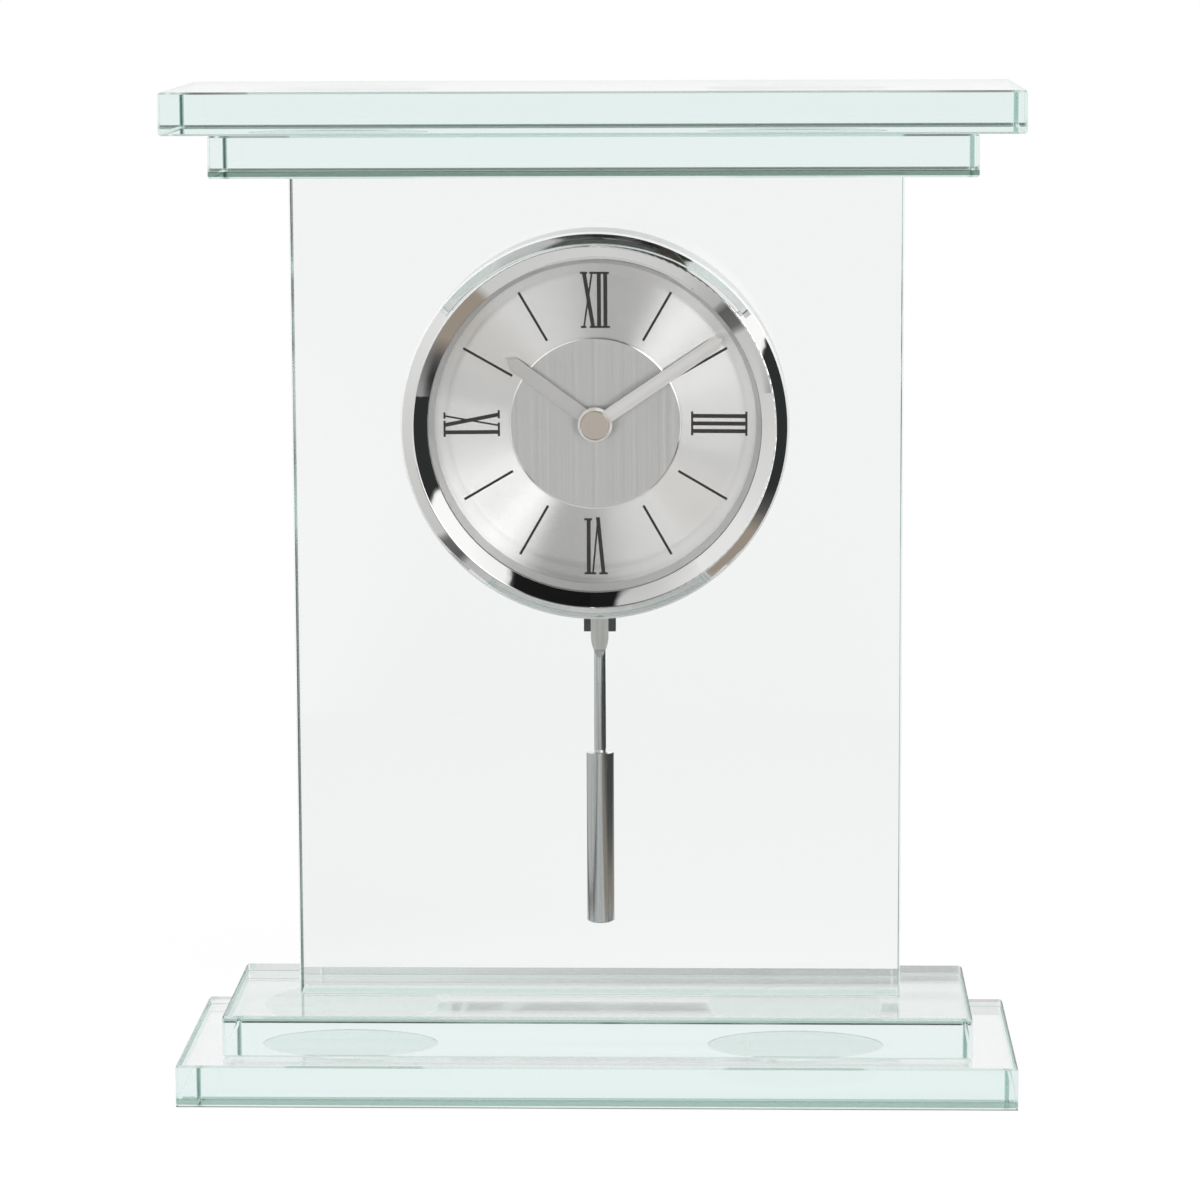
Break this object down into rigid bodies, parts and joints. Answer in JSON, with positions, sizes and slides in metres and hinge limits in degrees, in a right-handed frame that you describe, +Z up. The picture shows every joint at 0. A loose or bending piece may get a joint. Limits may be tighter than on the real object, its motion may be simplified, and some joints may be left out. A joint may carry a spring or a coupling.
{
  "type": "desk pendulum clock",
  "caption": "Free-standing glass desk clock: stepped base and top, upright panel with a round chrome head, quartz hands, and a short pendulum that swings behind the glass.",
  "frame": {"origin": "centre of the base slab's underside, on the table", "axes": "+Z up, +X to the right of a viewer facing the dial, dial facing -Y"},
  "size_m": [0.2, 0.07, 0.24],
  "materials": {
    "clear_glass": "polished float glass with ground edges",
    "bond_film": "clear cured adhesive",
    "lens_glass": "polished flat glass",
    "head_chrome": "mirror polished",
    "drum_silver": "satin turned",
    "dial_silver": "satin, spun",
    "disc_brushed": "vertical brushing",
    "hand_silver": "flat satin with bright cut edges",
    "case_plastic": "moulded black, fine texture",
    "hanger_plastic": "moulded dark grey",
    "wheel_plastic": "natural moulded acetal",
    "arbor_steel": "turned steel",
    "nut_brass": "machined brass",
    "rubber_grey": "soft rubber",
    "magnet_grey": "pressed ferrite",
    "coil_copper": "enamelled copper wire",
    "stator_steel": "stamped sheet",
    "bobbin_plastic": "moulded",
    "battery_label": "plain printed sleeve, steel ends",
    "contact_nickel": "nickel plated spring strip",
    "board_green": "resist over laminate",
    "chip_black": "resin drop"
  },
  "bodies": {
    "stand": {"base_slab": "clear_glass", "base_bond_discs": "bond_film", "base_step_slab": "clear_glass", "panel_foot_bond": "bond_film", "glass_panel": "clear_glass", "panel_top_bond": "bond_film", "top_step_slab": "clear_glass", "top_bond_discs": "bond_film", "top_slab": "clear_glass", "drum_case": "drum_silver", "front_gasket": "rubber_grey", "rear_gasket": "rubber_grey", "clamp_ring": "drum_silver", "bezel": "head_chrome", "lens": "lens_glass", "spacer_ring": "drum_silver", "dial": "dial_silver", "centre_disc": "disc_brushed", "rubber_washer": "rubber_grey", "nut_washer": "nut_brass", "bush_nut": "nut_brass", "movement_front_plate": "case_plastic", "movement_rear_case": "case_plastic", "movement_screws": "arbor_steel", "stator": "stator_steel", "motor_bobbin": "bobbin_plastic", "motor_winding": "coil_copper", "battery": "battery_label", "contact_plus": "contact_nickel", "contact_minus": "contact_nickel", "circuit_board": "board_green", "chip": "chip_black", "quartz_can": "contact_nickel", "pendulum_coil": "coil_copper", "pivot_pin": "arbor_steel", "pivot_clip": "arbor_steel"},
    "minute": {"minute_hand": "hand_silver", "centre_cap": "head_chrome", "centre_arbor": "arbor_steel", "centre_wheel": "wheel_plastic"},
    "hour": {"hour_hand": "hand_silver", "hour_wheel": "wheel_plastic"},
    "setting": {"minute_wheel": "wheel_plastic", "setting_knob": "hanger_plastic"},
    "third": {"third_wheel": "wheel_plastic"},
    "second": {"second_wheel": "wheel_plastic"},
    "rotor": {"rotor": "wheel_plastic", "rotor_magnet": "magnet_grey"},
    "pendulum": {"pendulum_hanger": "hanger_plastic", "pendulum_magnet": "magnet_grey", "pendulum_rod": "head_chrome", "pendulum_bob": "head_chrome"}
  },
  "joints": [
    {"name": "minute_turn", "type": "hinge", "parent": "stand", "child": "minute", "pos_m": [0, 0, 0.1612], "axis": [0, 1, 0], "continuous": true},
    {"name": "hour_turn", "type": "hinge", "parent": "stand", "child": "hour", "pos_m": [0, 0, 0.1612], "axis": [0, 1, 0], "continuous": true},
    {"name": "setting_turn", "type": "hinge", "parent": "stand", "child": "setting", "pos_m": [0.0075, 0, 0.1612], "axis": [0, 1, 0], "continuous": true},
    {"name": "third_turn", "type": "hinge", "parent": "stand", "child": "third", "pos_m": [-0.00495, 0, 0.15625], "axis": [0, 1, 0], "continuous": true},
    {"name": "second_turn", "type": "hinge", "parent": "stand", "child": "second", "pos_m": [-0.00495, 0, 0.15025], "axis": [0, 1, 0], "continuous": true},
    {"name": "rotor_turn", "type": "hinge", "parent": "stand", "child": "rotor", "pos_m": [-0.01095, 0, 0.15025], "axis": [0, 1, 0], "continuous": true},
    {"name": "pendulum_swing", "type": "hinge", "parent": "stand", "child": "pendulum", "pos_m": [0, 0.0145, 0.1532], "axis": [0, 1, 0], "range_deg": [-7, 7]}
  ],
  "couplings": [
    {"joint": "hour_turn", "follows": "minute_turn", "ratio": 0.083333},
    {"joint": "setting_turn", "follows": "minute_turn", "ratio": -0.33333},
    {"joint": "third_turn", "follows": "minute_turn", "ratio": -6},
    {"joint": "second_turn", "follows": "minute_turn", "ratio": 30},
    {"joint": "rotor_turn", "follows": "minute_turn", "ratio": -120}
  ]
}
